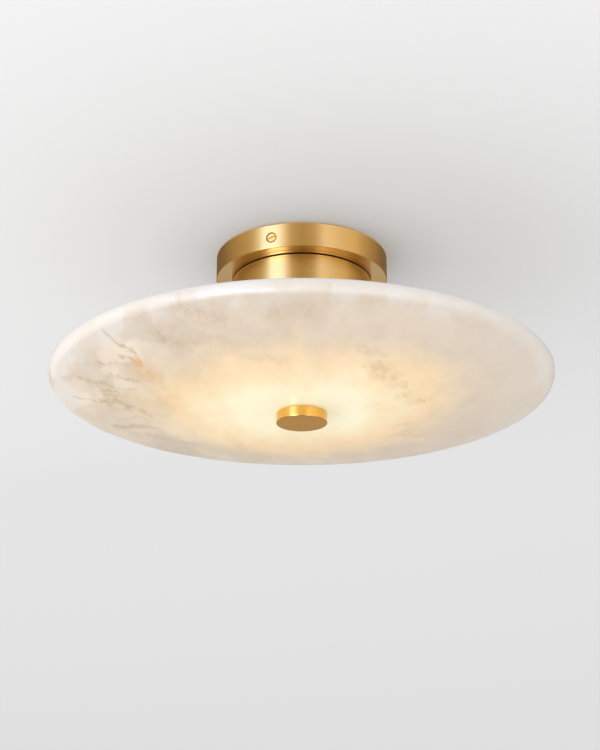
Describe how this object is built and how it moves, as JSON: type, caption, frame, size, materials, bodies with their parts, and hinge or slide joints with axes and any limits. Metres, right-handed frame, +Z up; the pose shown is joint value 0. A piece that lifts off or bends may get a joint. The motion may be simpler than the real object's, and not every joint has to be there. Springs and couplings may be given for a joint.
{
  "type": "ceiling light",
  "caption": "Flush ceiling light: a shallow veined alabaster dish hung under a brushed brass canopy and drum, held by a brass disc finial.",
  "frame": {"origin": "on the ceiling plane at the centre of the fixing slots, where the light's axis meets the ceiling", "axes": "+Z up into the ceiling along the light's axis, -Y the front that the picture shows, +X to its right"},
  "size_m": [0.4663, 0.4664, 0.1665],
  "materials": {
    "brushed_brass": "lathe-brushed, lacquered",
    "brass_screw": "turned",
    "brass_rod": "threaded, plain",
    "zinc_steel": "zinc plated",
    "white_enamel": "white enamel",
    "black_rubber": "moulded",
    "nylon": "moulded nylon",
    "felt": "pressed felt",
    "alabaster": "honed, veined, translucent",
    "lampholder_ceramic": "unglazed steatite",
    "lamp_base_plastic": "moulded",
    "contact_metal": "nickel plated",
    "lit_glass": "frosted, lit",
    "lead_silicone": "silicone sleeve"
  },
  "bodies": {
    "fixture": {"canopy": "brushed_brass", "neck_drum": "brushed_brass", "canopy_screws": "brass_screw", "ceiling_plate": "zinc_steel", "plate_ears": "zinc_steel", "cable_bush": "black_rubber", "earth_screw": "brass_screw", "earth_washer": "zinc_steel", "neck_screws": "zinc_steel", "lamp_plate": "white_enamel", "plate_screws": "zinc_steel", "hanger_rod": "brass_rod", "rod_washers": "zinc_steel", "rod_nut_upper": "brass_rod", "rod_nut_lower": "brass_rod", "bracket_screws": "zinc_steel", "holder_screws": "zinc_steel", "lead_grommets": "black_rubber", "terminal_block": "nylon", "terminal_screws": "brass_screw", "bowl_stop_nut": "brass_rod", "upper_disc": "white_enamel", "lamp_bracket_1": "zinc_steel", "lampholder_1": "lampholder_ceramic", "lamp_lead_1": "lead_silicone", "lamp_bracket_2": "zinc_steel", "lampholder_2": "lampholder_ceramic", "lamp_lead_2": "lead_silicone", "lamp_bracket_3": "zinc_steel", "lampholder_3": "lampholder_ceramic", "lamp_lead_3": "lead_silicone"},
    "bowl": {"alabaster_bowl": "alabaster", "bowl_bush": "nylon", "upper_pad": "felt", "lower_pad": "felt"},
    "finial": {"finial": "brushed_brass"},
    "lamp_1": {"lamp_pins_1": "contact_metal", "lamp_base_1": "lamp_base_plastic", "lamp_bulb_1": "lit_glass"},
    "lamp_2": {"lamp_pins_2": "contact_metal", "lamp_base_2": "lamp_base_plastic", "lamp_bulb_2": "lit_glass"},
    "lamp_3": {"lamp_pins_3": "contact_metal", "lamp_base_3": "lamp_base_plastic", "lamp_bulb_3": "lit_glass"}
  },
  "joints": [
    {"name": "bowl_drop", "type": "slide", "parent": "fixture", "child": "bowl", "axis": [0, 0, -1], "range_m": [0, 0.0142]},
    {"name": "finial_turn", "type": "hinge", "parent": "bowl", "child": "finial", "pos_m": [0, 0, -0.1615], "axis": [0, 0, -1], "range_deg": [0, 5040]},
    {"name": "lamp_1_pull", "type": "slide", "parent": "fixture", "child": "lamp_1", "axis": [0.866, -0.5, 0], "range_m": [0, 0.014]},
    {"name": "lamp_2_pull", "type": "slide", "parent": "fixture", "child": "lamp_2", "axis": [0, 1, 0], "range_m": [0, 0.014]},
    {"name": "lamp_3_pull", "type": "slide", "parent": "fixture", "child": "lamp_3", "axis": [-0.866, -0.5, 0], "range_m": [0, 0.014]}
  ],
  "couplings": [
    {"joint": "bowl_drop", "follows": "finial_turn", "m_per_rad": 0.00015915}
  ]
}
